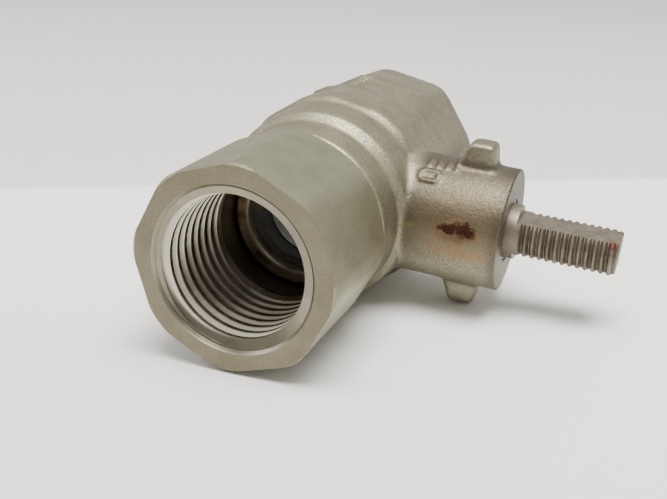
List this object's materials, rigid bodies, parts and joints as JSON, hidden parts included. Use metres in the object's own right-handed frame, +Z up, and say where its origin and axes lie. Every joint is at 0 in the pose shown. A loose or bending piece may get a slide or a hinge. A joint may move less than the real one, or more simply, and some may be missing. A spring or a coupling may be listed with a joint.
{
  "type": "ball valve",
  "caption": "small two-piece threaded ball valve with an octagonal end cap and a bare double-D stem, its lever taken off",
  "frame": {"origin": "centre of the ball, where the flow axis and the stem axis cross", "axes": "the valve lies on its side: +X along the stem, out of the neck; Y along the flow, end cap at -Y; +Z up, through the upper stop lug"},
  "size_m": [0.0578, 0.0636, 0.0304],
  "materials": {
    "cast_steel": "blasted cast stainless steel",
    "cap_steel": "satin cast stainless steel with machined face and thread",
    "polished_steel": "polished stainless steel",
    "stem_steel": "turned stainless steel",
    "seat_polymer": "filled fluoropolymer",
    "packing_polymer": "white fluoropolymer",
    "seal_rubber": "black rubber"
  },
  "bodies": {
    "casing": {"valve_body": "cast_steel", "end_cap": "cap_steel", "seat_ring_front": "seat_polymer", "seat_ring_rear": "seat_polymer", "joint_seal": "seat_polymer", "thrust_washer": "packing_polymer", "packing_base_ring": "packing_polymer", "packing_v_ring_lower": "packing_polymer", "packing_v_ring_middle": "packing_polymer", "packing_v_ring_upper": "packing_polymer", "packing_header_ring": "packing_polymer", "stem_bushing": "packing_polymer"},
    "stem": {"stem": "stem_steel", "stem_o_ring": "seal_rubber"},
    "ball": {"ball": "polished_steel"}
  },
  "joints": [
    {"name": "stem_turn", "type": "hinge", "parent": "casing", "child": "stem", "pos_m": [0, 0, 0], "axis": [1, 0, 0], "range_deg": [-90, 0]},
    {"name": "ball_turn", "type": "hinge", "parent": "casing", "child": "ball", "pos_m": [0, 0, 0], "axis": [1, 0, 0], "range_deg": [-90, 0]}
  ],
  "couplings": [
    {"joint": "ball_turn", "follows": "stem_turn", "ratio": 1}
  ]
}
